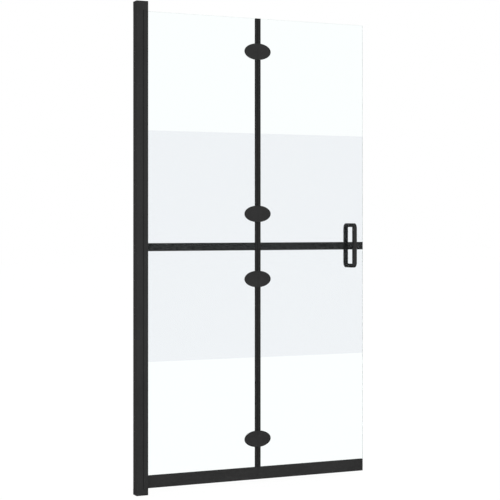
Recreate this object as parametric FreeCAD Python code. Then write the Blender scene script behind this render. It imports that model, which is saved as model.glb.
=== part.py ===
import FreeCAD, Part
import math
import os
from FreeCAD import Vector

# Folding shower screen: two glass leaves, a wall profile that the first leaf
# pivots on, and four plate hinges on the fold between the leaves.
# X runs from the wall to the free edge, -Y faces the room, Z is up.
# The origin is on the wall, at the foot of the wall profile, midway in its depth.

# Driving dimensions
overall_width = 1000.0
overall_height = 1900.0
fold_distance = 518.0
profile_depth = 40.0
channel_width = 26.0
stile_width = 19.9
bottom_block_height = 23.6
top_block_height = 35.0
glass_thickness = 5.0
rail_height = 48.5
rail_depth = 12.0

# Gaps between moving pieces
stile_gap = 1.2
running_gap = 0.3
fold_gap = 0.5
seat_clearance = 0.02
pin_clearance = 0.05
slip_clearance = 0.1
overrun = 5.0

# Wall channel and its snap-in cover
channel_web = 2.5
channel_wall = 2.0
channel_corner = 0.8
cover_thickness = 2.5
cover_leg = 5.0
cover_leg_thickness = 1.2
ledge_size = 1.2
wall_hole_radius = 3.0
wall_hole_end_distance = 175.0
wall_hole_inner_distance = 690.0
wall_seal_width = 4.0
wall_seal_base = 1.5
wall_seal_lip_width = 2.4
wall_seal_place = 8.0

# Pivot blocks, their screws and the pivot pins
tongue_height = 40.0
block_corner = 0.8
block_rim = 0.4
block_screw_low = 12.0
block_screw_pitch = 18.0
block_screw_head_radius = 3.8
block_screw_head_height = 2.0
block_screw_radius = 2.0
block_screw_length = 11.0
socket_radius = 1.25
socket_depth = 1.2
pivot_corner = 6.0
pivot_pin_radius = 2.5
pivot_pin_in_block = 16.0
pivot_pin_in_bush = 13.0
pin_chamfer = 0.5
bush_radius = 3.8
bush_length = 14.0
bush_flange_radius = 4.8
bush_flange_height = 1.2
recess_margin = 0.2
parallel_slack = 1e-6

# Stile extrusion
stile_wall = 1.8
stile_corner = 0.8
glass_insertion = 11.0
pocket_relief = 2.0
gasket_in_stile = 1.6

# Bottom rails
rail_wall = 1.8
rail_corner = 0.8
rail_setback = 2.5
rail_floor_height = 8.0
rail_floor = 3.0
rail_plug_length = 9.0
setting_pad_height = 4.0
setting_pad_length = 60.0
setting_pad_inset = 70.0
drip_slot_width = 6.0
drip_mouth_width = 4.0
drip_mouth_height = 1.8
rail_gasket_depth = 20.0

# Fold seals
seal_skin = 1.5
inner_seal_width = 8.6
outer_seal_width = 13.6
seal_web = 4.4
seal_bore_width = 2.2
seal_bore_depth = 4.2
seal_gap = 1.2
seal_corner = 0.4

# Panes and the printed films on them
pane_arris = 0.5
pane_slack = 0.05
pane_top_drop = 0.7
film_glue = 0.05
film_thickness = 0.3
film_margin = 0.3
bar_height = 31.0
bar_level = 953.5
frost_bottom_level = 510.0
frost_top_level = 1405.0

# Fold hinges
front_half_width = 57.0
front_half_height = 33.0
back_half_width = 49.5
back_half_height = 30.0
plate_thickness = 5.0
plate_edge_round = 1.2
plate_gasket = 1.0
gasket_inset = 1.0
barrel_radius = 5.8
barrel_half_length = 23.0
middle_knuckle_length = 16.0
knuckle_relief = 0.4
washer_thickness = 0.5
washer_slack = 0.05
hinge_pin_radius = 2.5
hinge_bush_radius = 3.5
hinge_axis_lead = 0.5
hinge_bottom_rise = 113.0
hinge_top_drop = 132.8
hinge_middle_offset = 130.0
screw_column = 30.0
screw_half_pitch = 14.0
screw_radius = 2.5
screw_head_radius = 4.8
screw_head_height = 2.6
screw_tip_gap = 0.3
screw_bite = 3.8
screw_socket_radius = 1.6
screw_socket_depth = 1.8
glass_hole_radius = 6.0
sleeve_wall = 3.1

# Pull handles
handle_bar_width = 15.0
handle_bar_depth = 14.0
handle_post_height = 15.5
handle_height = 182.0
handle_level = 955.0
handle_reach = 45.5
handle_edge_inset = 51.5
handle_outer_round = 20.0
handle_inner_round = 1.5
handle_edge_round = 0.8
stud_radius = 3.0
stud_bite = 14.0
handle_washer_inset = 1.0
grub_radius = 1.5
grub_setback = 0.5
grub_depth = 11.0
grub_socket_radius = 0.8

# Levels and places worked out from the values above
half_depth = profile_depth / 2
half_glass = glass_thickness / 2
grip_half = half_glass + pane_slack
leaf_bottom = bottom_block_height + running_gap
leaf_top = overall_height - top_block_height - running_gap
channel_top = overall_height - top_block_height
pane_top = leaf_top - pane_top_drop
stile_left = channel_width + stile_gap
stile_right = stile_left + stile_width
pivot_x = stile_left + pivot_corner
pivot_y = pivot_corner - half_depth
pocket_half = half_glass + gasket_in_stile
pocket_floor = stile_right - glass_insertion - pocket_relief
inner_glass_left = stile_right - glass_insertion
inner_glass_right = fold_distance - seal_gap / 2 - seal_web
outer_glass_left = fold_distance + seal_gap / 2 + seal_web
inner_seal_left = fold_distance - seal_gap / 2 - inner_seal_width
outer_seal_right = fold_distance + seal_gap / 2 + outer_seal_width
rail_top = leaf_bottom + rail_height
rail_slot_floor = leaf_bottom + rail_floor_height + rail_floor
glass_bottom = rail_slot_floor + setting_pad_height
rail_slot_half = rail_depth / 2 - rail_wall
inner_rail_span = (stile_right + running_gap, fold_distance - fold_gap / 2)
outer_rail_span = (fold_distance + fold_gap / 2, overall_width - rail_setback)
film_face = half_glass + film_glue + film_thickness
gasket_face = half_glass + plate_gasket
plate_face = gasket_face + plate_thickness
hinge_axis_y = plate_face + hinge_axis_lead
hinge_levels = (
    rail_top + hinge_bottom_rise,
    bar_level - hinge_middle_offset,
    bar_level + hinge_middle_offset,
    pane_top - hinge_top_drop,
)
front_plate_sizes = (front_half_width, front_half_height)
back_plate_sizes = (back_half_width, back_half_height)
handle_left = overall_width - handle_edge_inset - handle_bar_width
handle_middle = handle_left + handle_bar_width / 2
post_offset = handle_height / 2 - handle_post_height / 2
post_levels = (handle_level - post_offset, handle_level + post_offset)


def box(x, y, z):
    """A block between the low and high value of each pair."""
    corner = Vector(x[0], y[0], z[0])
    return Part.makeBox(x[1] - x[0], y[1] - y[0], z[1] - z[0], corner)


def rod_z(x, y, radius, z):
    """A round bar standing between two levels."""
    return Part.makeCylinder(radius, z[1] - z[0], Vector(x, y, z[0]), Vector(0, 0, 1))


def rod_y(x, z, radius, y):
    """A round bar lying front to back."""
    return Part.makeCylinder(radius, y[1] - y[0], Vector(x, y[0], z), Vector(0, 1, 0))


def rod_x(y, z, radius, x):
    """A round bar lying along the screen."""
    return Part.makeCylinder(radius, x[1] - x[0], Vector(x[0], y, z), Vector(1, 0, 0))


def cone_y(x, z, radii, y):
    """A round taper lying front to back."""
    axis = Vector(0, 1, 0)
    return Part.makeCone(radii[0], radii[1], y[1] - y[0], Vector(x, y[0], z), axis)


def hex_socket(x, z, radius, y):
    """A hexagonal prism for a key, lying front to back."""
    corners = []
    for turn in range(7):
        angle = math.radians(60 * turn)
        corners.append(Vector(x + radius * math.cos(angle), y[0], z + radius * math.sin(angle)))
    return Part.Face(Part.makePolygon(corners)).extrude(Vector(0, y[1] - y[0], 0))


def fused(shapes):
    """One solid from pieces that overlap or share a face."""
    whole = shapes[0]
    for shape in shapes[1:]:
        whole = whole.fuse(shape)
    return whole.removeSplitter()


def cut(shape, tools):
    """The shape with each tool taken away."""
    for tool in tools:
        shape = shape.cut(tool)
    return shape


def group(shapes):
    """Separate solids that share one node."""
    solids = []
    for shape in shapes:
        solids.extend(shape.Solids)
    return Part.makeCompound(solids)


def edges_along(shape, axis, keep=None):
    """The straight edges that run along an axis, narrowed by a test on their middle."""
    found = []
    for edge in shape.Edges:
        if not straight_edge(edge):
            continue
        along = edge.tangentAt(edge.FirstParameter)
        middle = edge.CenterOfMass
        if abs(abs(along.dot(axis)) - 1) < parallel_slack and (keep is None or keep(middle)):
            found.append(edge)
    return found


def near(a, b):
    """True when two places agree within a sliver."""
    return abs(a - b) < seat_clearance


def mirrored_y(shape):
    """The shape reflected through the glass, front to back."""
    return shape.mirror(Vector(0, 0, 0), Vector(0, 1, 0))


# Wall side


def wall_channel():
    """Open extrusion screwed to the wall, with ledges that stop the cover."""
    z = (bottom_block_height, channel_top)
    body = box((0, channel_width), (-half_depth, half_depth), z)
    outer = edges_along(body, Vector(0, 0, 1))
    body = body.makeFillet(channel_corner, outer)
    inside = half_depth - channel_wall
    body = body.cut(box((channel_web, channel_width + overrun), (-inside, inside), z))
    ledge_right = channel_width - cover_thickness
    for side in (-1, 1):
        rib = sorted((side * (inside + channel_wall / 2), side * (inside - ledge_size)))
        body = body.fuse(box((ledge_right - ledge_size, ledge_right), rib, z))
    holes = []
    for level in wall_hole_levels():
        holes.append(rod_x(0, level, wall_hole_radius, (-overrun, channel_web + overrun)))
    for end in block_ends():
        for level in end["screws"]:
            holes.append(block_screw_space(level))
    return cut(body.removeSplitter(), holes)


def wall_hole_levels():
    """Heights of the four wall screw holes."""
    far = (wall_hole_end_distance, overall_height - wall_hole_end_distance)
    close = (wall_hole_inner_distance, overall_height - wall_hole_inner_distance)
    return far + close


def channel_cover():
    """Snap-in strip that closes the channel's mouth and holds the wall seal."""
    z = (bottom_block_height, channel_top)
    half = half_depth - channel_wall - slip_clearance
    back = channel_width - cover_thickness
    plate = box((back, channel_width), (-half, half), z)
    leg_outside = half - ledge_size
    legs = []
    for side in (-1, 1):
        leg = sorted((side * leg_outside, side * (leg_outside - cover_leg_thickness)))
        legs.append(box((back - cover_leg, back), leg, z))
    body = fused([plate] + legs)
    slot = (wall_seal_place - wall_seal_width / 2, wall_seal_place + wall_seal_width / 2)
    return body.cut(box((channel_width - wall_seal_base, channel_width + overrun), slot, z))


def wall_seal():
    """Rubber strip in the cover's slot, with a lip that nearly meets the stile."""
    z = (bottom_block_height, channel_top)
    half = wall_seal_width / 2 - seat_clearance
    base = box(
        (channel_width - wall_seal_base, channel_width),
        (wall_seal_place - half, wall_seal_place + half),
        z,
    )
    lip = box(
        (channel_width, stile_left - running_gap),
        (wall_seal_place - wall_seal_lip_width / 2, wall_seal_place + wall_seal_lip_width / 2),
        z,
    )
    return fused([base, lip])


def tongue_span():
    """How far a block's tongue reaches across the inside of the channel."""
    right = channel_width - cover_thickness - cover_leg - slip_clearance
    return (channel_web + slip_clearance, right)


def block_ends():
    """Each pivot block's outer level, the level it meets the channel at, and its screws."""
    low = bottom_block_height
    high = channel_top
    pitch = block_screw_pitch
    return (
        {
            "outer": 0,
            "mouth": low,
            "inward": 1,
            "screws": (low + block_screw_low, low + block_screw_low + pitch),
        },
        {
            "outer": overall_height,
            "mouth": high,
            "inward": -1,
            "screws": (high - block_screw_low, high - block_screw_low - pitch),
        },
    )


def block_screw_space(level):
    """The countersunk hole that a block screw leaves in the channel and the tongue."""
    x = sum(tongue_span()) / 2
    head = (half_depth - block_screw_head_height, half_depth)
    tip = half_depth - block_screw_length
    hole_radius = block_screw_radius + pin_clearance
    cone = cone_y(x, level, (hole_radius, block_screw_head_radius + pin_clearance), head)
    shank = rod_y(x, level, hole_radius, (tip - running_gap, half_depth))
    return cone.fuse(shank)


def pivot_block(end):
    """End block that carries a pivot pin, with a tongue inside the channel."""
    mouth = end["mouth"]
    inward = end["inward"]
    body = box((0, stile_right), (-half_depth, half_depth), sorted((end["outer"], mouth)))

    def off_wall(middle):
        return near(middle.x, stile_right)

    body = body.makeFillet(block_corner, edges_along(body, Vector(0, 0, 1), off_wall))
    rim = []
    for edge in body.Edges:
        middle = edge.CenterOfMass
        if near(middle.z, end["outer"]) and not near(middle.x, 0):
            rim.append(edge)
    body = body.makeFillet(block_rim, rim)
    inside = half_depth - channel_wall - slip_clearance
    tongue_levels = sorted((mouth, mouth + inward * tongue_height))
    tongue = box(tongue_span(), (-inside, inside), tongue_levels)
    body = fused([body, tongue])
    pin_hole = sorted((mouth - inward * pivot_pin_in_block, mouth + inward * overrun))
    recess_depth = bush_flange_height - running_gap + pin_clearance
    recess = sorted((mouth - inward * recess_depth, mouth + inward * overrun))
    cuts = [
        rod_z(pivot_x, pivot_y, pivot_pin_radius, pin_hole),
        rod_z(pivot_x, pivot_y, bush_flange_radius + recess_margin, recess),
    ]
    for level in end["screws"]:
        cuts.append(block_screw_space(level))
    return cut(body, cuts)


def block_screw(level):
    """Countersunk screw through the channel's back wall into a tongue."""
    x = sum(tongue_span()) / 2
    head = (half_depth - block_screw_head_height, half_depth)
    cone = cone_y(x, level, (block_screw_radius, block_screw_head_radius), head)
    shank = rod_y(x, level, block_screw_radius, (half_depth - block_screw_length, half_depth))
    key = hex_socket(x, level, socket_radius, (half_depth - socket_depth, half_depth + overrun))
    return cone.fuse(shank).cut(key)


def block_screws():
    """All four block screws."""
    return group([block_screw(level) for end in block_ends() for level in end["screws"]])


def pivot_pins():
    """Two pins pressed into the blocks, one at each end of the stile."""
    pins = []
    for end in block_ends():
        mouth = end["mouth"]
        inward = end["inward"]
        reach = running_gap + pivot_pin_in_bush
        span = sorted((mouth - inward * pivot_pin_in_block, mouth + inward * reach))
        pin = rod_z(pivot_x, pivot_y, pivot_pin_radius, span)
        pins.append(pin.makeChamfer(pin_chamfer, [e for e in pin.Edges if round_edge(e)]))
    return group(pins)


def straight_edge(edge):
    """True for a straight edge."""
    return isinstance(edge.Curve, Part.Line)


def round_edge(edge):
    """True for a full circle."""
    return isinstance(edge.Curve, Part.Circle)


# Inner leaf frame


def stile():
    """Hollow upright of the inner leaf, rounded about the pivot, with a glass pocket."""
    z = (leaf_bottom, leaf_top)
    body = box((stile_left, stile_right), (-half_depth, half_depth), z)

    def at_pivot(middle):
        return near(middle.x, stile_left) and near(middle.y, -half_depth)

    pivot_edge = edges_along(body, Vector(0, 0, 1), at_pivot)
    body = body.makeFillet(pivot_corner, pivot_edge)

    def at_corner(middle):
        return near(abs(middle.y), half_depth) and not near(middle.x, pivot_x)

    body = body.makeFillet(stile_corner, edges_along(body, Vector(0, 0, 1), at_corner))
    through = (leaf_bottom - overrun, leaf_top + overrun)
    pocket = box((pocket_floor, stile_right + overrun), (-pocket_half, pocket_half), through)
    chamber_right = stile_right - stile_wall
    chamber_edge = half_depth - stile_wall
    front = box(
        (pivot_x + bush_radius + stile_wall, chamber_right),
        (-chamber_edge, -pocket_half - stile_wall),
        through,
    )
    back = box(
        (stile_left + stile_wall, chamber_right),
        (pocket_half + stile_wall, chamber_edge),
        through,
    )
    link = box(
        (stile_left + stile_wall, pocket_floor - stile_wall),
        (-pocket_half, pocket_half),
        through,
    )
    bore = rod_z(pivot_x, pivot_y, bush_radius + seat_clearance, through)
    return cut(body, [pocket, front, back, link, bore])


def pivot_bushes():
    """Flanged plastic bushes at both ends of the stile's bore."""
    bushes = []
    for end, face in zip(block_ends(), (leaf_bottom, leaf_top)):
        inward = end["inward"]
        sleeve = sorted((face, face + inward * bush_length))
        flange = sorted((face - inward * bush_flange_height, face))
        bush = fused(
            [
                rod_z(pivot_x, pivot_y, bush_radius, sleeve),
                rod_z(pivot_x, pivot_y, bush_flange_radius, flange),
            ]
        )
        hole = (face - bush_length - overrun, face + bush_length + overrun)
        bushes.append(bush.cut(rod_z(pivot_x, pivot_y, pivot_pin_radius + pin_clearance, hole)))
    return group(bushes)


def stile_gaskets():
    """Two wedge strips that hold the glass in the stile's pocket."""
    z = (leaf_bottom, leaf_top)
    front = box((inner_glass_left, stile_right - running_gap), (-pocket_half, -grip_half), z)
    return group([front, mirrored_y(front)])


# Glass and its printed films


def hinge_oval(sizes, level, inset, y):
    """Elliptical slug centred on the fold line, with its half width and half height."""
    ellipse = Part.Ellipse(Vector(0, 0, 0), sizes[0] - inset, sizes[1] - inset)
    face = Part.Face(Part.Wire([ellipse.toShape()]))
    face.rotate(Vector(0, 0, 0), Vector(1, 0, 0), 90)
    face.translate(Vector(fold_distance, y[0], level))
    return face.extrude(Vector(0, y[1] - y[0], 0))


def half_oval(sizes, side, level, y):
    """One leaf's half of the hinge outline, with its straight edge beside the fold line."""
    start = fold_distance + side * fold_gap / 2
    ellipse = Part.Ellipse(Vector(0, 0, 0), sizes[0] - fold_gap / 2, sizes[1])
    first = -math.pi / 2 if side > 0 else math.pi / 2
    arc = Part.ArcOfEllipse(ellipse, first, first + math.pi).toShape()
    chord = Part.makeLine(arc.Vertexes[-1].Point, arc.Vertexes[0].Point)
    face = Part.Face(Part.Wire([arc, chord]))
    face.rotate(Vector(0, 0, 0), Vector(1, 0, 0), 90)
    face.translate(Vector(start, y[0], level))
    return face.extrude(Vector(0, y[1] - y[0], 0))


def curved_rim(plate, y):
    """The curved edges of a plate at one depth."""
    return [e for e in plate.Edges if near(e.CenterOfMass.y, y) and not straight_edge(e)]


def hinge_screw_x(side):
    """Where a leaf's hinge screws stand; side is -1 for the inner leaf."""
    return fold_distance + side * screw_column


def hinge_screw_places(side):
    """Place and level of every hinge screw of one leaf."""
    places = []
    for level in hinge_levels:
        for step in (-1, 1):
            places.append((hinge_screw_x(side), level + step * screw_half_pitch))
    return places


def pane(x, side, extra_holes):
    """One toughened pane with its drilled holes and softened edges."""
    body = box(x, (-half_glass, half_glass), (glass_bottom, pane_top))
    faces_rim = [edge for edge in body.Edges if near(abs(edge.CenterOfMass.y), half_glass)]
    body = body.makeChamfer(pane_arris, faces_rim)
    through = (-half_glass - overrun, half_glass + overrun)
    holes = []
    for place, level in hinge_screw_places(side) + extra_holes:
        holes.append(rod_y(place, level, glass_hole_radius, through))
    return cut(body, holes)


def inner_glass():
    """Pane between the stile and the fold."""
    return pane((inner_glass_left, inner_glass_right), -1, [])


def outer_glass():
    """Pane between the fold and the free edge."""
    handle_holes = [(handle_middle, level) for level in post_levels]
    return pane((outer_glass_left, overall_width), 1, handle_holes)


def film_span(side):
    """How far a film reaches across a leaf."""
    if side < 0:
        return (stile_right + film_margin, inner_seal_left - film_margin)
    return (outer_seal_right + film_margin, overall_width - pane_arris)


def bar_film(side):
    """Black stripe on the room face of the glass."""
    z = (bar_level - bar_height / 2, bar_level + bar_height / 2)
    y = (-film_face, -half_glass - film_glue)
    return box(film_span(side), y, z)


def frost_film(side):
    """Frosted band on the shower face, cut round the hinges and the handle."""
    y = (half_glass + film_glue, film_face)
    through = (0, half_glass + overrun)
    body = box(film_span(side), y, (frost_bottom_level, frost_top_level))
    cuts = []
    for level in hinge_levels:
        if frost_bottom_level < level < frost_top_level:
            cuts.append(hinge_oval(back_plate_sizes, level, gasket_inset - film_margin, through))
    if side > 0:
        hole = handle_washer_radius() + film_margin
        cuts += [rod_y(handle_middle, level, hole, through) for level in post_levels]
    return cut(body, cuts)


# Bottom rails


def rail(x):
    """Bottom rail of one leaf: a glass slot above, a slot for the drip seal below."""
    y = (-rail_depth / 2, rail_depth / 2)
    body = box(x, y, (leaf_bottom, rail_top))
    body = body.makeFillet(rail_corner, edges_along(body, Vector(1, 0, 0)))
    past = (x[0] - overrun, x[1] + overrun)
    glass_slot = (-rail_slot_half, rail_slot_half)
    drip_top = leaf_bottom + rail_floor_height
    drip_step = leaf_bottom + drip_mouth_height
    cuts = [
        box(past, glass_slot, (rail_slot_floor, rail_top + overrun)),
        box(past, (-drip_slot_width / 2, drip_slot_width / 2), (drip_step, drip_top)),
        box(past, (-drip_mouth_width / 2, drip_mouth_width / 2), (leaf_bottom - overrun, drip_top)),
    ]
    return cut(body, cuts)


def rail_plug_spans(x):
    """Where the two end plugs of a rail sit."""
    return ((x[0], x[0] + rail_plug_length), (x[1] - rail_plug_length, x[1]))


def rail_plugs(x, glass_x):
    """End plugs that close the rail below, beside and beyond the pane, flush with its ends."""
    half = rail_slot_half - seat_clearance
    beside = half_glass + seat_clearance
    edges = (glass_x[0] - seat_clearance, glass_x[1] + seat_clearance)
    pane_space = box(edges, (-beside, beside), (glass_bottom, rail_top + overrun))
    gasket_space = box(glass_x, (-half, half), (rail_top - rail_gasket_depth, rail_top + overrun))
    plugs = []
    for span in rail_plug_spans(x):
        plug = box(span, (-half, half), (rail_slot_floor, rail_top))
        plugs.append(cut(plug, [pane_space, gasket_space]))
    return group(plugs)


def setting_pads(x):
    """Two pads in the rail that the pane stands on."""
    half = rail_slot_half - seat_clearance
    starts = (x[0] + setting_pad_inset, x[1] - setting_pad_inset - setting_pad_length)
    pads = []
    for start in starts:
        z = (rail_slot_floor, glass_bottom)
        pads.append(box((start, start + setting_pad_length), (-half, half), z))
    return group(pads)


def rail_gaskets(x, glass_x):
    """Two strips that wedge the pane in the rail, from its lips down."""
    span = (max(x[0], glass_x[0]), min(x[1], glass_x[1]))
    z = (rail_top - rail_gasket_depth, rail_top)
    front = box(span, (-rail_slot_half, -grip_half), z)
    return group([front, mirrored_y(front)])


def drip_seal(x):
    """Rubber strip held in the slot under the rail, flush with its underside."""
    slack = slip_clearance
    top = leaf_bottom + rail_floor_height
    step = leaf_bottom + drip_mouth_height
    mouth = drip_mouth_width / 2 - slack
    wide = drip_slot_width / 2 - slack
    stem = box(x, (-mouth, mouth), (leaf_bottom, top))
    head = box(x, (-wide, wide), (step + slack, top))
    return fused([stem, head])


# Fold seals


def fold_seal(side):
    """Edge strip of one pane, in lengths between the hinges."""
    meeting = fold_distance + side * seal_gap / 2
    far = inner_seal_left if side < 0 else outer_seal_right
    glass_edge = inner_glass_right if side < 0 else outer_glass_left
    z = (rail_top, pane_top)
    past = (rail_top - overrun, pane_top + overrun)
    half = half_glass + seal_skin
    body = box(sorted((far, meeting)), (-half, half), z)

    def outer_corner(middle):
        return near(abs(middle.y), half)

    body = body.makeFillet(seal_corner, edges_along(body, Vector(0, 0, 1), outer_corner))
    slot = sorted((glass_edge, far + side * overrun))
    bore_near = meeting + side * (seal_web - seal_bore_width) / 2
    bore = sorted((bore_near, bore_near + side * seal_bore_width))
    cuts = [
        box(slot, (-grip_half, grip_half), past),
        box(bore, (-seal_bore_depth / 2, seal_bore_depth / 2), past),
    ]
    past_skin = half + overrun
    for level in hinge_levels:
        cuts.append(hinge_oval(front_plate_sizes, level, -film_margin, (-past_skin, 0)))
        cuts.append(hinge_oval(back_plate_sizes, level, -film_margin, (0, past_skin)))
    return group([cut(body, cuts)])


# Fold hinges


def half_space(side, gap):
    """A tall block that covers one side of the fold line."""
    reach = overall_width
    x = sorted((fold_distance + side * gap, fold_distance + side * reach))
    return box(x, (-reach, reach), (-reach, overall_height + reach))


def front_plates(side):
    """Plain half ovals on the room face, tapped for the screws from behind."""
    plates = []
    for level in hinge_levels:
        plate = half_oval(front_plate_sizes, side, level, (-plate_face, -gasket_face))
        plate = plate.makeFillet(plate_edge_round, curved_rim(plate, -plate_face))
        tip = -gasket_face - screw_bite - screw_tip_gap
        for step in (-1, 1):
            z = level + step * screw_half_pitch
            tapped = rod_y(hinge_screw_x(side), z, screw_radius + seat_clearance, (tip, 0))
            plate = plate.cut(tapped)
        plates.append(plate)
    return group(plates)


def knuckle_spans(level):
    """The levels of the lower, middle and upper knuckle of a hinge."""
    half_middle = middle_knuckle_length / 2
    rest = half_middle + washer_thickness + 2 * washer_slack
    return (
        (level - barrel_half_length, level - rest),
        (level - half_middle, level + half_middle),
        (level + rest, level + barrel_half_length),
    )


def back_plates(side):
    """Smaller half ovals on the shower face with the knuckles that turn on the pin."""
    plates = []
    clear = barrel_radius + knuckle_relief
    for level in hinge_levels:
        plate = half_oval(back_plate_sizes, side, level, (gasket_face, plate_face))
        plate = plate.makeFillet(plate_edge_round, curved_rim(plate, plate_face))
        low, middle, high = knuckle_spans(level)
        own = (low, high) if side < 0 else (middle,)
        x = sorted((fold_distance, fold_distance + side * clear))
        notch = (low[0] - knuckle_relief, high[1] + knuckle_relief)
        plate = plate.cut(box(x, (0, plate_face + overrun), notch))
        cuts = []
        bore = hinge_pin_radius + seat_clearance if side < 0 else hinge_bush_radius
        for span in own:
            web = box(x, (gasket_face, hinge_axis_y), span)
            barrel = rod_z(fold_distance, hinge_axis_y, barrel_radius, span)
            plate = fused([plate, web, barrel])
            cuts.append(rod_z(fold_distance, hinge_axis_y, bore, span))
        for step in (-1, 1):
            z = level + step * screw_half_pitch
            cuts.append(hinge_screw_space(hinge_screw_x(side), z))
        plates.append(cut(plate, cuts))
    return group(plates)


def hinge_screw_space(x, z):
    """Countersunk hole through a back plate."""
    head = (plate_face - screw_head_height, plate_face)
    radius = screw_radius + pin_clearance
    cone = cone_y(x, z, (radius, screw_head_radius + pin_clearance), head)
    return cone.fuse(rod_y(x, z, radius, (0, plate_face)))


def hinge_screw(x, z):
    """Countersunk screw from the shower face into a front plate."""
    head = (plate_face - screw_head_height, plate_face)
    cone = cone_y(x, z, (screw_radius, screw_head_radius), head)
    shank = rod_y(x, z, screw_radius, (-gasket_face - screw_bite, plate_face))
    key = (plate_face - screw_socket_depth, plate_face + overrun)
    return cone.fuse(shank).cut(hex_socket(x, z, screw_socket_radius, key))


def hinge_screws(side):
    """All hinge screws of one leaf."""
    return group([hinge_screw(x, z) for x, z in hinge_screw_places(side)])


def glass_sleeve(x, z, bore):
    """Plastic sleeve that keeps a fastener off the glass."""
    y = (-half_glass, half_glass)
    tube = rod_y(x, z, glass_hole_radius - pin_clearance, y)
    return tube.cut(rod_y(x, z, bore, (y[0] - overrun, y[1] + overrun)))


def hinge_sleeves(side):
    """Sleeves in all hinge holes of one pane."""
    bore = glass_hole_radius - sleeve_wall
    return group([glass_sleeve(x, z, bore) for x, z in hinge_screw_places(side)])


def hinge_gaskets(side):
    """Thin pads between the pane and each plate, front and back."""
    pads = []
    edge = inner_glass_right if side < 0 else outer_glass_left
    keep = half_space(side, abs(edge - fold_distance))
    hole = glass_hole_radius - sleeve_wall
    faces = (
        (front_plate_sizes, (-gasket_face, -grip_half)),
        (back_plate_sizes, (grip_half, gasket_face)),
    )
    for level in hinge_levels:
        for sizes, y in faces:
            pad = hinge_oval(sizes, level, gasket_inset, y).common(keep)
            for step in (-1, 1):
                z = level + step * screw_half_pitch
                pad = pad.cut(rod_y(hinge_screw_x(side), z, hole, (-plate_face, plate_face)))
            pads.append(pad)
    return group(pads)


def hinge_pins():
    """One pin through the three knuckles of each hinge."""
    pins = []
    for level in hinge_levels:
        span = (level - barrel_half_length, level + barrel_half_length)
        pin = rod_z(fold_distance, hinge_axis_y, hinge_pin_radius, span)
        pins.append(pin.makeChamfer(pin_chamfer, [e for e in pin.Edges if round_edge(e)]))
    return group(pins)


def hinge_bushes():
    """Plastic bush in each middle knuckle."""
    bushes = []
    for level in hinge_levels:
        span = knuckle_spans(level)[1]
        bush = rod_z(fold_distance, hinge_axis_y, hinge_bush_radius - seat_clearance, span)
        hole = (span[0] - overrun, span[1] + overrun)
        radius = hinge_pin_radius + pin_clearance
        bushes.append(bush.cut(rod_z(fold_distance, hinge_axis_y, radius, hole)))
    return group(bushes)


def hinge_washers():
    """Two thrust washers in each hinge, between the knuckles."""
    washers = []
    for level in hinge_levels:
        top_of_middle = middle_knuckle_length / 2 + washer_slack
        for step in (-1, 1):
            near_face = level + step * top_of_middle
            span = sorted((near_face, near_face + step * washer_thickness))
            washer = rod_z(fold_distance, hinge_axis_y, barrel_radius, span)
            hole = (span[0] - overrun, span[1] + overrun)
            radius = hinge_pin_radius + seat_clearance
            washers.append(washer.cut(rod_z(fold_distance, hinge_axis_y, radius, hole)))
    return group(washers)


# Pull handles


def handle_washer_radius():
    """Radius of the pads under the handle posts."""
    return handle_bar_width / 2 - handle_washer_inset


def handle(side):
    """Square pull bar with two posts; side is -1 for the room face."""
    x = (handle_left, handle_left + handle_bar_width)
    z = (handle_level - handle_height / 2, handle_level + handle_height / 2)
    body = box(x, (-handle_reach, -gasket_face), z)

    def outer_corner(middle):
        return near(middle.y, -handle_reach)

    body = body.makeFillet(handle_outer_round, edges_along(body, Vector(1, 0, 0), outer_corner))
    gap = box(
        (x[0] - overrun, x[1] + overrun),
        (-handle_reach + handle_bar_depth, overrun),
        (z[0] + handle_post_height, z[1] - handle_post_height),
    )

    def inner_corner(middle):
        return near(middle.y, -handle_reach + handle_bar_depth)

    gap = gap.makeFillet(handle_inner_round, edges_along(gap, Vector(1, 0, 0), inner_corner))
    body = body.cut(gap)
    rim = []
    for edge in body.Edges:
        middle = edge.CenterOfMass
        on_side = near(middle.x, x[0]) or near(middle.x, x[1])
        if on_side and not near(middle.y, -gasket_face):
            rim.append(edge)
    body = body.makeFillet(handle_edge_round, rim)
    hole = (-gasket_face - stud_bite - running_gap, 0)
    for level in post_levels:
        body = body.cut(rod_y(handle_middle, level, stud_radius + seat_clearance, hole))
    if side < 0:
        return body
    body = mirrored_y(body)
    side_face = x[1]
    for level in post_levels:
        tunnel = (handle_middle + stud_radius, side_face + overrun)
        body = body.cut(rod_x(gasket_face + grub_depth, level, grub_radius + seat_clearance, tunnel))
    return body


def handle_studs():
    """Rods that pass through the pane and join the two handles."""
    y = (-gasket_face - stud_bite, gasket_face + stud_bite)
    return group([rod_y(handle_middle, level, stud_radius, y) for level in post_levels])


def handle_washers():
    """Round pads under each post, on both faces of the pane."""
    washers = []
    for level in post_levels:
        pad = rod_y(handle_middle, level, handle_washer_radius(), (-gasket_face, -grip_half))
        hole = (-plate_face, 0)
        pad = pad.cut(rod_y(handle_middle, level, stud_radius + pin_clearance, hole))
        washers += [pad, mirrored_y(pad)]
    return group(washers)


def handle_sleeves():
    """Plastic sleeves where the studs pass through the pane."""
    bore = stud_radius + pin_clearance
    return group([glass_sleeve(handle_middle, level, bore) for level in post_levels])


def grub_screws():
    """Screws in the back handle's posts that lock it on the studs."""
    screws = []
    y = gasket_face + grub_depth
    for level in post_levels:
        tip = handle_middle + stud_radius
        head = handle_left + handle_bar_width - grub_setback
        screw = rod_x(y, level, grub_radius, (tip, head))
        key = rod_x(y, level, grub_socket_radius, (head - grub_radius, head + overrun))
        screws.append(screw.cut(key))
    return group(screws)


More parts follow.
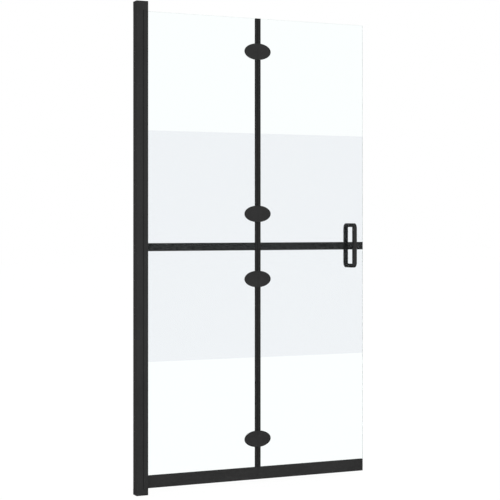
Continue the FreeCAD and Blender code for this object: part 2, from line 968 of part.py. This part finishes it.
def build():
    """Every node of the screen by name."""
    ends = block_ends()
    inner_pane = (inner_glass_left, inner_glass_right)
    outer_pane = (outer_glass_left, overall_width)
    nodes = {
        "wall_channel": wall_channel(),
        "channel_cover": channel_cover(),
        "wall_seal": wall_seal(),
        "bottom_pivot_block": pivot_block(ends[0]),
        "top_pivot_block": pivot_block(ends[1]),
        "block_screws": block_screws(),
        "pivot_pins": pivot_pins(),
        "stile": stile(),
        "pivot_bushes": pivot_bushes(),
        "stile_gaskets": stile_gaskets(),
        "inner_glass": inner_glass(),
        "outer_glass": outer_glass(),
        "hinge_pins": hinge_pins(),
        "hinge_bushes": hinge_bushes(),
        "hinge_washers": hinge_washers(),
        "handle_front": handle(-1),
        "handle_back": handle(1),
        "handle_studs": handle_studs(),
        "handle_washers": handle_washers(),
        "handle_sleeves": handle_sleeves(),
        "handle_grub_screws": grub_screws(),
    }
    leaves = (
        ("inner", -1, inner_rail_span, inner_pane),
        ("outer", 1, outer_rail_span, outer_pane),
    )
    for leaf, side, span, pane_span in leaves:
        nodes[leaf + "_bar_film"] = bar_film(side)
        nodes[leaf + "_frost_film"] = frost_film(side)
        nodes[leaf + "_rail"] = rail(span)
        nodes[leaf + "_rail_plugs"] = rail_plugs(span, pane_span)
        nodes[leaf + "_setting_pads"] = setting_pads(span)
        nodes[leaf + "_rail_gaskets"] = rail_gaskets(span, pane_span)
        nodes[leaf + "_drip_seal"] = drip_seal(span)
        nodes[leaf + "_fold_seal"] = fold_seal(side)
        nodes[leaf + "_hinge_fronts"] = front_plates(side)
        nodes[leaf + "_hinge_backs"] = back_plates(side)
        nodes[leaf + "_hinge_gaskets"] = hinge_gaskets(side)
        nodes[leaf + "_hinge_sleeves"] = hinge_sleeves(side)
        nodes[leaf + "_hinge_screws"] = hinge_screws(side)
    return nodes


os.makedirs("parts", exist_ok=True)
for name, shape in build().items():
    shape.exportStep("parts/" + name + ".step")
    print(name, len(shape.Solids), "solid(s)", "valid" if shape.isValid() else "NOT VALID")
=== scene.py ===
import bpy
import bmesh
import math
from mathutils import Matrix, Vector

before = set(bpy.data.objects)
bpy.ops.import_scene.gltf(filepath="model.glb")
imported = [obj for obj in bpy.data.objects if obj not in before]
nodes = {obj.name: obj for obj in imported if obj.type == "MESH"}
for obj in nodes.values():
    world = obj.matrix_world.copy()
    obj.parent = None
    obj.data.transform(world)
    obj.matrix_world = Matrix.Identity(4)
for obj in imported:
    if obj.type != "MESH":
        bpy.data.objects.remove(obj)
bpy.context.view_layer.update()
print("frame loaded:", len(nodes), "nodes")


# node helpers

pattern = {
    "rampStart": 0.35,         # noise keeps near a half, so the ramps are narrow
    "rampEnd": 0.65,
    "bumpStrength": 0.6,
}


def newMaterial(name):
    mat = bpy.data.materials.new(name)
    mat.use_nodes = True
    tree = mat.node_tree
    tree.nodes.clear()
    out = tree.nodes.new("ShaderNodeOutputMaterial")
    return mat, tree, out


def addNode(tree, kind, values=None, **settings):
    node = tree.nodes.new(kind)
    for key, value in settings.items():
        setattr(node, key, value)
    for key, value in (values or {}).items():
        node.inputs[key].default_value = value
    return node


def link(tree, source, target):
    tree.links.new(source, target)


def objectCoords(tree, stretch=(1, 1, 1)):         # less than 1 draws a pattern out along that axis
    coords = addNode(tree, "ShaderNodeTexCoord")
    mapping = addNode(tree, "ShaderNodeMapping", {"Scale": stretch})
    link(tree, coords.outputs["Object"], mapping.inputs["Vector"])
    return mapping.outputs["Vector"]


def noise(tree, vector, size, detail=2.0):         # size is metres from one blotch to the next
    node = addNode(tree, "ShaderNodeTexNoise", {"Scale": 1 / size, "Detail": detail})
    link(tree, vector, node.inputs["Vector"])
    return node.outputs["Fac"]


def paint(tree, factor, values, target):
    ramp = addNode(tree, "ShaderNodeValToRGB")
    dark, light = ramp.color_ramp.elements
    dark.position = pattern["rampStart"]
    dark.color = values["dark"]
    light.position = pattern["rampEnd"]
    light.color = values["light"]
    link(tree, factor, ramp.inputs["Fac"])
    link(tree, ramp.outputs["Color"], target)


def varyRoughness(tree, factor, values, target):
    spread = addNode(tree, "ShaderNodeMapRange",
                     {"To Min": values["roughLow"], "To Max": values["roughHigh"]})
    link(tree, factor, spread.inputs["Value"])
    link(tree, spread.outputs["Result"], target)


def roughen(tree, factor, height, target):         # height is metres from pit to top
    bump = addNode(tree, "ShaderNodeBump",
                   {"Strength": pattern["bumpStrength"], "Distance": height})
    link(tree, factor, bump.inputs["Height"])
    link(tree, bump.outputs["Normal"], target)


def grey(level):
    return (level, level, level, 1)


def dress(mat, *names):
    for name in names:
        for slot in nodes[name].material_slots:
            slot.material = mat


# metal finishes

powderCoat = {
    "dark": grey(0.0240),
    "light": grey(0.0375),
    "cloudShare": 0.35,        # the rest of the shading is grain
    "cloudSize": 0.09,
    "cloudDetail": 4.0,
    "grainSize": 0.0011,
    "grainHeight": 0.00004,
    "drawn": 0.35,             # the grain of profile and rails, along their length
    "roughLow": 0.66,
    "roughHigh": 0.82,
    "shine": 0.03,
}


def makePowderCoat(name, values, stretch=(1, 1, 1)):
    mat, tree, out = newMaterial(name)
    vector = objectCoords(tree, stretch)
    shader = addNode(tree, "ShaderNodeBsdfPrincipled", {"Specular IOR Level": values["shine"]})
    cloud = noise(tree, vector, values["cloudSize"], values["cloudDetail"])
    grain = noise(tree, vector, values["grainSize"])
    both = addNode(tree, "ShaderNodeMix", {"Factor": values["cloudShare"]}, data_type="FLOAT")
    link(tree, grain, both.inputs["A"])
    link(tree, cloud, both.inputs["B"])
    paint(tree, both.outputs["Result"], values, shader.inputs["Base Color"])
    varyRoughness(tree, grain, values, shader.inputs["Roughness"])
    roughen(tree, grain, values["grainHeight"], shader.inputs["Normal"])
    link(tree, shader.outputs["BSDF"], out.inputs["Surface"])
    return mat


polishedSteel = {
    "dark": grey(0.42),
    "light": grey(0.60),
    "lineSize": 0.0011,
    "lineDetail": 3.0,
    "drawn": 0.05,             # turning lines of the pins, along their length
    "rough": 0.32,
}
blackenedSteel = {
    "dark": grey(0.035),
    "light": grey(0.055),
    "lineSize": 0.0011,
    "lineDetail": 3.0,
    "rough": 0.42,
}


def makeMetal(name, values, stretch=(1, 1, 1)):
    mat, tree, out = newMaterial(name)
    shader = addNode(tree, "ShaderNodeBsdfPrincipled",
                     {"Metallic": 1.0, "Roughness": values["rough"]})
    lines = noise(tree, objectCoords(tree, stretch), values["lineSize"], values["lineDetail"])
    paint(tree, lines, values, shader.inputs["Base Color"])
    link(tree, shader.outputs["BSDF"], out.inputs["Surface"])
    return mat


profileBlack = makePowderCoat("profile_black", powderCoat, (1, 1, powderCoat["drawn"]))
railBlack = makePowderCoat("rail_black", powderCoat, (powderCoat["drawn"], 1, 1))
castBlack = makePowderCoat("cast_black", powderCoat)
pinSteel = makeMetal("pin_steel", polishedSteel, (1, 1, polishedSteel["drawn"]))
screwBlack = makeMetal("screw_black", blackenedSteel)

dress(profileBlack, "wall_channel", "channel_cover", "stile")
dress(railBlack, "inner_rail", "outer_rail")
dress(castBlack, "bottom_pivot_block", "top_pivot_block", "handle_front", "handle_back",
      "inner_hinge_fronts", "outer_hinge_fronts", "inner_hinge_backs", "outer_hinge_backs")
dress(pinSteel, "pivot_pins", "hinge_pins", "handle_studs")
dress(screwBlack, "block_screws", "inner_hinge_screws", "outer_hinge_screws",
      "handle_grub_screws")
print("metal dressed")


# rubber and plastic

rubber = {
    "dark": grey(0.0148),
    "light": grey(0.0262),
    "grainSize": 0.0006,
    "grainDetail": 3.0,
    "grainHeight": 0.000008,
    "drawn": 0.06,             # drawn lines of the long strips
    "rough": 0.78,
    "shine": 0.08,
}
nylon = {
    "dark": grey(0.0160),
    "light": grey(0.0220),
    "grainSize": 0.002,
    "grainDetail": 3.0,
    "grainHeight": 0.000008,
    "rough": 0.5,
    "shine": 0.1,
}


def makePolymer(name, values, stretch=(1, 1, 1)):
    mat, tree, out = newMaterial(name)
    shader = addNode(tree, "ShaderNodeBsdfPrincipled",
                     {"Specular IOR Level": values["shine"], "Roughness": values["rough"]})
    grain = noise(tree, objectCoords(tree, stretch), values["grainSize"], values["grainDetail"])
    paint(tree, grain, values, shader.inputs["Base Color"])
    roughen(tree, grain, values["grainHeight"], shader.inputs["Normal"])
    link(tree, shader.outputs["BSDF"], out.inputs["Surface"])
    return mat


uprightRubber = makePolymer("upright_rubber", rubber, (1, 1, rubber["drawn"]))
lyingRubber = makePolymer("lying_rubber", rubber, (rubber["drawn"], 1, 1))
padRubber = makePolymer("pad_rubber", rubber)
blackNylon = makePolymer("black_nylon", nylon)

dress(uprightRubber, "wall_seal", "stile_gaskets", "inner_fold_seal", "outer_fold_seal")
dress(lyingRubber, "inner_rail_gaskets", "outer_rail_gaskets",
      "inner_drip_seal", "outer_drip_seal")
dress(padRubber, "inner_hinge_gaskets", "outer_hinge_gaskets", "handle_washers")
dress(blackNylon, "pivot_bushes", "hinge_bushes", "hinge_washers",
      "inner_rail_plugs", "outer_rail_plugs", "inner_setting_pads", "outer_setting_pads",
      "inner_hinge_sleeves", "outer_hinge_sleeves", "handle_sleeves")
print("rubber and plastic dressed")


# glass and what is printed on it

def letLampsThrough(tree, surface, tint, out):     # else the glass throws a black shadow
    passed = addNode(tree, "ShaderNodeBsdfTransparent", {"Color": tint})
    ray = addNode(tree, "ShaderNodeLightPath")
    mix = addNode(tree, "ShaderNodeMixShader")
    link(tree, ray.outputs["Is Shadow Ray"], mix.inputs["Fac"])
    link(tree, surface, mix.inputs[1])
    link(tree, passed.outputs["BSDF"], mix.inputs[2])
    link(tree, mix.outputs["Shader"], out.inputs["Surface"])


clearGlass = {
    "tint": (0.969, 1.0, 0.999, 1),
    "passed": 1.0,             # share of the light that goes through
    "bend": 1.3,
    "shine": 0.02,
    "rough": 0.0,
    "shadowTint": (0.94, 0.96, 0.96, 1),
}
groundRim = {                  # green when looked at edge on
    "dark": (0.80, 0.89, 0.87, 1),
    "light": (0.89, 0.95, 0.93, 1),
    "blotchSize": 0.012,
    "blotchDetail": 3.0,
    "passed": 0.35,
    "rough": 0.35,
    "faceTurn": 0.9,           # the big faces look along y, more than this
}


def makeGlass(name, values, rim):
    mat, tree, out = newMaterial(name)
    face = addNode(tree, "ShaderNodeBsdfPrincipled", {
        "Base Color": values["tint"],
        "Transmission Weight": values["passed"],
        "IOR": values["bend"],
        "Specular IOR Level": values["shine"],
        "Roughness": values["rough"],
    })
    edge = addNode(tree, "ShaderNodeBsdfPrincipled", {
        "Transmission Weight": rim["passed"],
        "IOR": values["bend"],
        "Specular IOR Level": values["shine"],
        "Roughness": rim["rough"],
    })
    blotches = noise(tree, objectCoords(tree), rim["blotchSize"], rim["blotchDetail"])
    paint(tree, blotches, rim, edge.inputs["Base Color"])
    coords = addNode(tree, "ShaderNodeTexCoord")
    normal = addNode(tree, "ShaderNodeSeparateXYZ")
    facing = addNode(tree, "ShaderNodeMath", operation="ABSOLUTE")
    isRim = addNode(tree, "ShaderNodeMath", {1: rim["faceTurn"]}, operation="LESS_THAN")
    pane = addNode(tree, "ShaderNodeMixShader")
    link(tree, coords.outputs["Normal"], normal.inputs["Vector"])
    link(tree, normal.outputs["Y"], facing.inputs[0])
    link(tree, facing.outputs["Value"], isRim.inputs[0])
    link(tree, isRim.outputs["Value"], pane.inputs["Fac"])
    link(tree, face.outputs["BSDF"], pane.inputs[1])
    link(tree, edge.outputs["BSDF"], pane.inputs[2])
    letLampsThrough(tree, pane.outputs["Shader"], values["shadowTint"], out)
    return mat


frosting = {
    "dark": (0.888, 0.890, 0.916, 1),
    "light": (0.902, 0.904, 0.930, 1),
    "passed": 0.995,           # the rest is a thin milky veil
    "bend": 1.12,
    "shine": 0.02,
    "roughLow": 0.13,
    "roughHigh": 0.20,
    "grainSize": 0.0009,
    "shadowTint": (0.90, 0.91, 0.92, 1),
}


def makeFrosting(name, values):
    mat, tree, out = newMaterial(name)
    shader = addNode(tree, "ShaderNodeBsdfPrincipled", {
        "Transmission Weight": values["passed"],
        "IOR": values["bend"],
        "Specular IOR Level": values["shine"],
    })
    grain = noise(tree, objectCoords(tree), values["grainSize"])
    paint(tree, grain, values, shader.inputs["Base Color"])
    varyRoughness(tree, grain, values, shader.inputs["Roughness"])
    letLampsThrough(tree, shader.outputs["BSDF"], values["shadowTint"], out)
    return mat


blackPrint = {
    "dark": (0.0060, 0.0072, 0.0075, 1),
    "light": (0.0130, 0.0148, 0.0153, 1),
    "grainSize": 0.0008,
    "cover": 0.86,             # of each face of the stripe
    "rough": 0.6,
    "shine": 0.15,
}


def makeBlackPrint(name, values):
    mat, tree, out = newMaterial(name)
    shader = addNode(tree, "ShaderNodeBsdfPrincipled", {
        "Roughness": values["rough"],
        "Specular IOR Level": values["shine"],
        "Alpha": values["cover"],
    })
    grain = noise(tree, objectCoords(tree), values["grainSize"])
    paint(tree, grain, values, shader.inputs["Base Color"])
    link(tree, shader.outputs["BSDF"], out.inputs["Surface"])
    return mat


dress(makeGlass("pane_glass", clearGlass, groundRim), "inner_glass", "outer_glass")
dress(makeFrosting("frost_band", frosting), "inner_frost_film", "outer_frost_film")
dress(makeBlackPrint("stripe_print", blackPrint), "inner_bar_film", "outer_bar_film")
print("glass dressed")


# studio

def raySeen(tree):             # 1 for what the camera sees, also in gloss and through glass
    ray = addNode(tree, "ShaderNodeLightPath")
    camOrGloss = addNode(tree, "ShaderNodeMath", operation="MAXIMUM")
    orPassed = addNode(tree, "ShaderNodeMath", operation="MAXIMUM")
    link(tree, ray.outputs["Is Camera Ray"], camOrGloss.inputs[0])
    link(tree, ray.outputs["Is Glossy Ray"], camOrGloss.inputs[1])
    link(tree, camOrGloss.outputs["Value"], orPassed.inputs[0])
    link(tree, ray.outputs["Is Transmission Ray"], orPassed.inputs[1])
    return orPassed.outputs["Value"]


floorLook = {
    "size": 60.0,
    "color": grey(0.96),       # what the light bounces off
    "seenColor": grey(0.12),   # what the camera sees the shadow on
    "seenGlow": grey(0.928),   # lifts that to white
}


def makeFloor():
    mesh = bpy.data.meshes.new("studio_floor")
    bm = bmesh.new()
    bmesh.ops.create_grid(bm, x_segments=1, y_segments=1, size=floorLook["size"] / 2)
    bm.to_mesh(mesh)
    bm.free()
    floor = bpy.data.objects.new("studio_floor", mesh)
    bpy.context.scene.collection.objects.link(floor)
    mat, tree, out = newMaterial("studio_floor")
    lit = addNode(tree, "ShaderNodeBsdfDiffuse", {"Color": floorLook["color"]})
    shaded = addNode(tree, "ShaderNodeBsdfDiffuse", {"Color": floorLook["seenColor"]})
    glow = addNode(tree, "ShaderNodeEmission", {"Color": floorLook["seenGlow"], "Strength": 1.0})
    white = addNode(tree, "ShaderNodeAddShader")
    mix = addNode(tree, "ShaderNodeMixShader")
    link(tree, shaded.outputs["BSDF"], white.inputs[0])
    link(tree, glow.outputs["Emission"], white.inputs[1])
    link(tree, raySeen(tree), mix.inputs["Fac"])
    link(tree, lit.outputs["BSDF"], mix.inputs[1])
    link(tree, white.outputs["Shader"], mix.inputs[2])
    link(tree, mix.outputs["Shader"], out.inputs["Surface"])
    mesh.materials.append(mat)


softLight = {
    "color": grey(1.0),
    "strength": 0.62,
    "seenStrength": 1.0,       # plain white behind the object
}


def makeWorld():
    world = bpy.data.worlds.new("studio")
    world.use_nodes = True
    tree = world.node_tree
    tree.nodes.clear()
    out = addNode(tree, "ShaderNodeOutputWorld")
    lit = addNode(tree, "ShaderNodeBackground",
                  {"Color": softLight["color"], "Strength": softLight["strength"]})
    seen = addNode(tree, "ShaderNodeBackground",
                   {"Color": softLight["color"], "Strength": softLight["seenStrength"]})
    mix = addNode(tree, "ShaderNodeMixShader")
    link(tree, raySeen(tree), mix.inputs["Fac"])
    link(tree, lit.outputs["Background"], mix.inputs[1])
    link(tree, seen.outputs["Background"], mix.inputs[2])
    link(tree, mix.outputs["Shader"], out.inputs["Surface"])
    bpy.context.scene.world = world


keyLamp = {
    "power": 180.0,
    "size": 5.0,
    "place": (-1.0, -5.6, 2.6),
    "aim": (0.5, 0, 0.7),
}


def makeKeyLamp():
    lamp = bpy.data.lights.new("key_lamp", "AREA")
    lamp.energy = keyLamp["power"]
    lamp.size = keyLamp["size"]
    key = bpy.data.objects.new("key_lamp", lamp)
    key.location = keyLamp["place"]
    aim = Vector(keyLamp["aim"]) - key.location
    key.rotation_euler = aim.to_track_quat("-Z", "Y").to_euler()
    key.visible_glossy = False                     # else its square glows in the panes
    key.visible_transmission = False
    bpy.context.scene.collection.objects.link(key)


makeFloor()
makeWorld()
makeKeyLamp()
print("studio lit")


# camera, level, solved from the photograph

photoView = {
    "size": 500,
    "horizon": 224.16,         # pixel row of the horizon
    "focalPixels": 1412.9,
    "heading": 24.773,         # degrees from +Y towards +X
    "place": (-1.8740, -5.1161, 1.0423),
    "sensor": 36.0,
    "clipEnd": 200,
}


def makeCamera():
    data = bpy.data.cameras.new("photo_camera")
    data.sensor_width = photoView["sensor"]
    data.lens = photoView["sensor"] * photoView["focalPixels"] / photoView["size"]
    data.shift_y = (photoView["horizon"] - photoView["size"] / 2) / photoView["size"]
    data.clip_end = photoView["clipEnd"]
    cam = bpy.data.objects.new("photo_camera", data)
    cam.location = photoView["place"]
    cam.rotation_euler = (math.radians(90), 0, -math.radians(photoView["heading"]))
    bpy.context.scene.collection.objects.link(cam)
    bpy.context.scene.camera = cam


makeCamera()
bpy.context.scene.view_settings.view_transform = "Standard"
print("camera placed")
